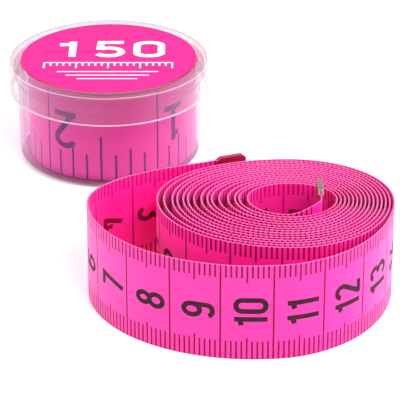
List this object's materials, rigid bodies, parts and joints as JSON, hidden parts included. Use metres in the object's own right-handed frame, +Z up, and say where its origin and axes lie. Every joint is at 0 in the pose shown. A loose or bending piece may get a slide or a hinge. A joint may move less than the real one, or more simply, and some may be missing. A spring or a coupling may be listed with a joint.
{
  "type": "soft tape measure set",
  "caption": "Soft sewing tape measure, rolled up in its round clear case with a pull-off lid, and standing loose beside it as an open coil.",
  "frame": {"origin": "centre of the case's underside, on the surface that the case and the loose coil stand on", "axes": "+Z up out of the case through its lid, +Y away from the viewer of the picture, +X to the viewer's right; the loose coil stands at +X -Y"},
  "size_m": [0.0802, 0.1147, 0.0229],
  "materials": {
    "clear_plastic": "milky clear polypropylene, semi-gloss",
    "printed_label": "plain pink printed film, satin",
    "pink_tape": "soft vinyl coat on woven glass-fibre cloth, satin",
    "tip_metal": "nickel-plated, folded and crimped"
  },
  "bodies": {
    "case": {"case_base": "clear_plastic"},
    "lid": {"case_lid": "clear_plastic", "lid_label": "printed_label"},
    "cased_roll": {"cased_tape": "pink_tape", "cased_tape_inner_tip": "tip_metal", "cased_tape_outer_tip": "tip_metal"},
    "loose_coil": {"loose_tape": "pink_tape", "loose_tape_inner_tip": "tip_metal", "loose_tape_outer_tip": "tip_metal"}
  },
  "joints": [
    {"name": "lid_lift", "type": "slide", "parent": "case", "child": "lid", "axis": [0, 0, 1], "range_m": [0, 0.06]},
    {"name": "roll_lift", "type": "slide", "parent": "case", "child": "cased_roll", "axis": [0, 0, 1], "range_m": [0, 0.024]},
    {"name": "coil_lift", "type": "slide", "parent": "case", "child": "loose_coil", "axis": [0, 0, 1], "range_m": [0, 0.03]}
  ],
  "couplings": [
    {"joint": "roll_lift", "follows": "lid_lift", "ratio": 0.4}
  ]
}
